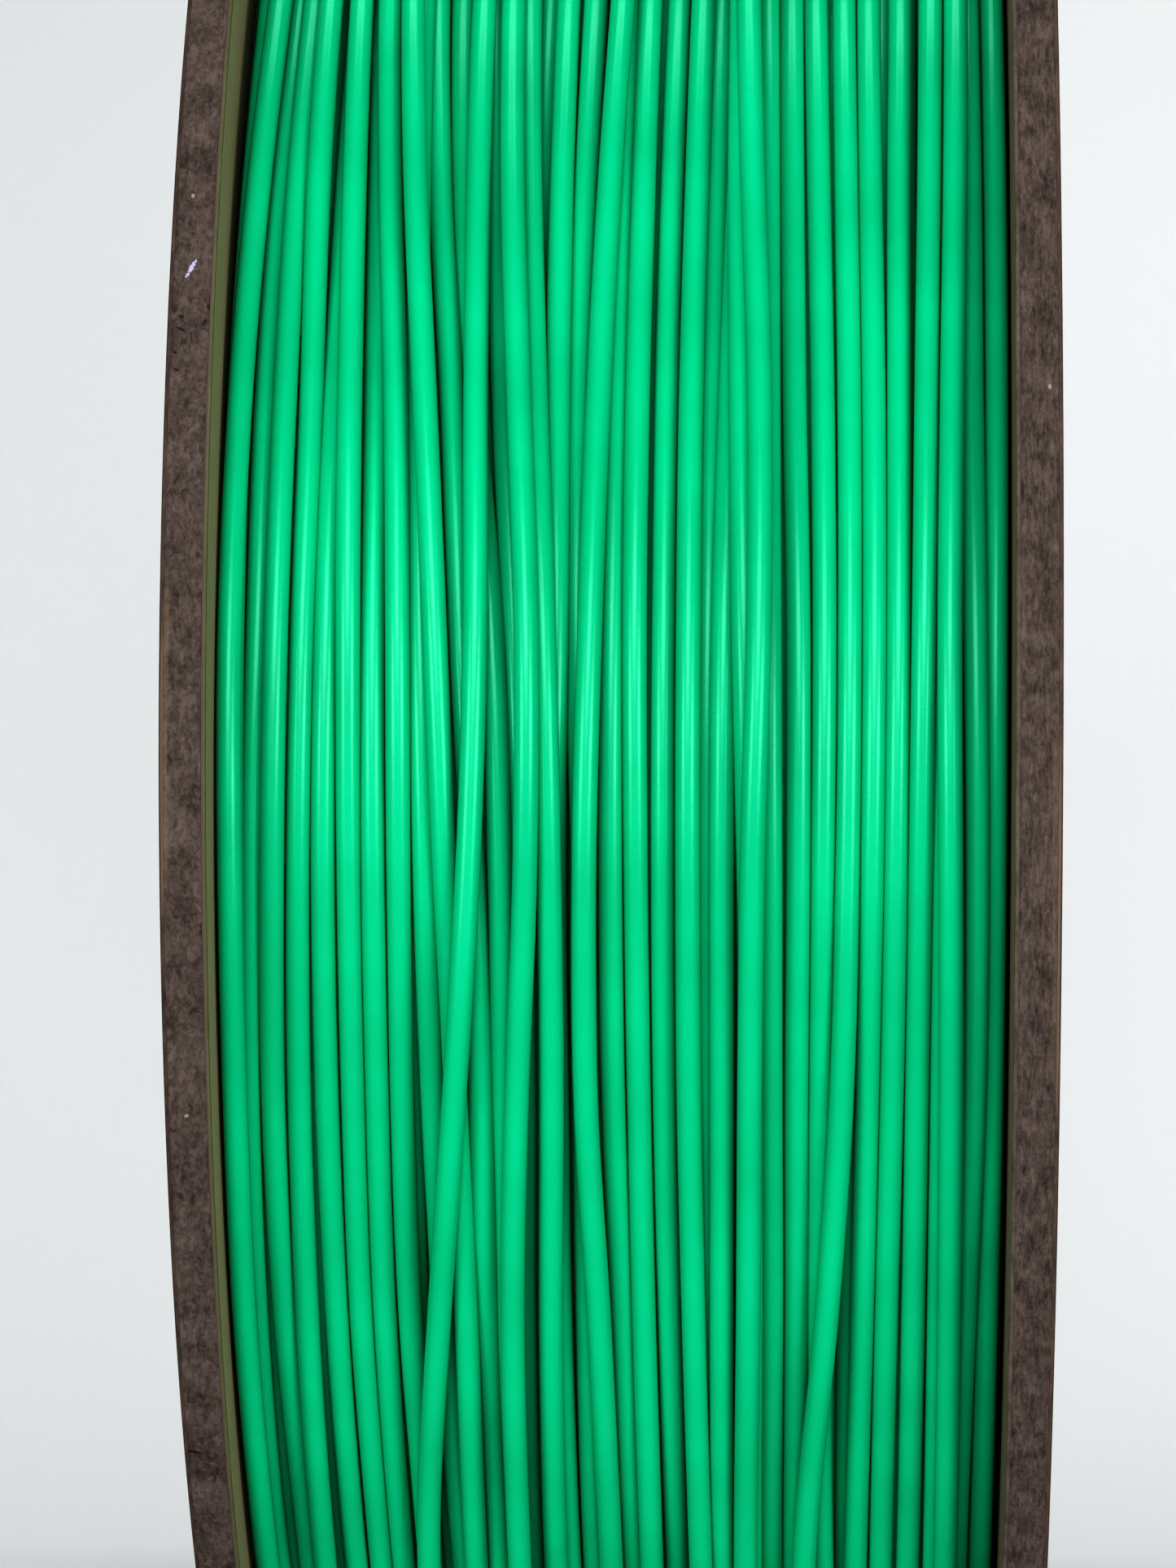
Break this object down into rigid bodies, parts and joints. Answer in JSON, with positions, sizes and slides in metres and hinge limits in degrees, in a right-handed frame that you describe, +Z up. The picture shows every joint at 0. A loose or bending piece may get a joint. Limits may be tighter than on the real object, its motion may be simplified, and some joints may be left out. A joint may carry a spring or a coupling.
{
  "type": "filament spool",
  "caption": "Full spool of printer filament: two round greyboard flanges glued to a paper core tube, with green strand wound between them and a round bore through the hub.",
  "frame": {"origin": "middle of the spindle bore, halfway between the two outer faces", "axes": "+X along the spool's axis towards the right flange, +Z up, -Y towards the viewer of the picture"},
  "size_m": [0.0614, 0.2, 0.2],
  "materials": {
    "greyboard": "bare grey-brown chipboard with a fibrous die-cut edge",
    "liner_paper": "smooth uncoated facing paper",
    "paper_tube": "spiral wound kraft paper",
    "filament": "glossy translucent green strand"
  },
  "bodies": {
    "root": {"left_outer_liner": "liner_paper", "left_board": "greyboard", "left_inner_liner": "liner_paper", "left_plug_ring": "greyboard", "right_outer_liner": "liner_paper", "right_board": "greyboard", "right_inner_liner": "liner_paper", "right_plug_ring": "greyboard", "core_tube": "paper_tube", "filament_inner_pack": "filament", "filament_outer_layer": "filament"}
  },
  "joints": []
}
